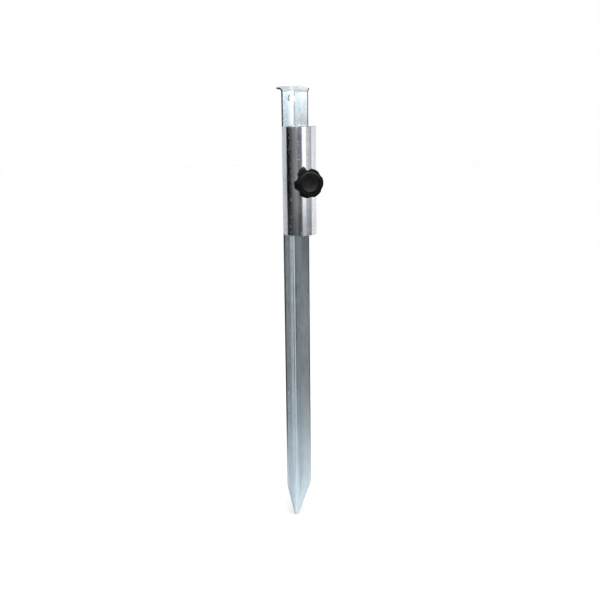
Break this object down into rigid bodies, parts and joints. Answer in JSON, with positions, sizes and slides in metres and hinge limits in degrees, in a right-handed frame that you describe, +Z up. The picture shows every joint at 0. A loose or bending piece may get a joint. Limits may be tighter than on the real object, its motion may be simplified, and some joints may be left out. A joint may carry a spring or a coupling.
{
  "type": "rod holder",
  "caption": "Ground spike of folded sheet with a welded tube for a rod butt, and a clamp screw with a star knob.",
  "frame": {"origin": "middle of the spike's blunt tip, in the middle of the sheet's thickness", "axes": "+Z up along the spike, -Y the way the knob faces, +X to the right seen from the knob side"},
  "size_m": [0.0388, 0.0723, 0.5303],
  "materials": {
    "galvanised_sheet": "galvanised, semi-gloss",
    "galvanised_tube": "galvanised, semi-gloss, lightly spangled",
    "zinc_plate": "bright zinc plate",
    "weld_metal": "zinc-coated weld bead",
    "black_plastic": "moulded, satin"
  },
  "bodies": {
    "spike": {"ground_spike": "galvanised_sheet", "holder_tube": "galvanised_tube", "weld_lower_left": "weld_metal", "weld_lower_right": "weld_metal", "weld_middle_left": "weld_metal", "weld_middle_right": "weld_metal", "weld_upper_left": "weld_metal", "weld_upper_right": "weld_metal", "weld_nut": "zinc_plate", "nut_weld_left": "weld_metal", "nut_weld_right": "weld_metal"},
    "pressure_cap": {"thrust_cap": "black_plastic"},
    "knob": {"clamp_screw": "zinc_plate", "knob_grip": "black_plastic", "knob_front_cap": "black_plastic"}
  },
  "joints": [
    {"name": "clamp_feed", "type": "slide", "parent": "spike", "child": "pressure_cap", "axis": [0, 1, 0], "range_m": [0, 0.00501]},
    {"name": "knob_turn", "type": "hinge", "parent": "pressure_cap", "child": "knob", "pos_m": [0, -0.02622, 0.4277], "axis": [0, 1, 0], "range_deg": [0, 1440]}
  ],
  "couplings": [
    {"joint": "clamp_feed", "follows": "knob_turn", "m_per_rad": 0.00019894}
  ]
}
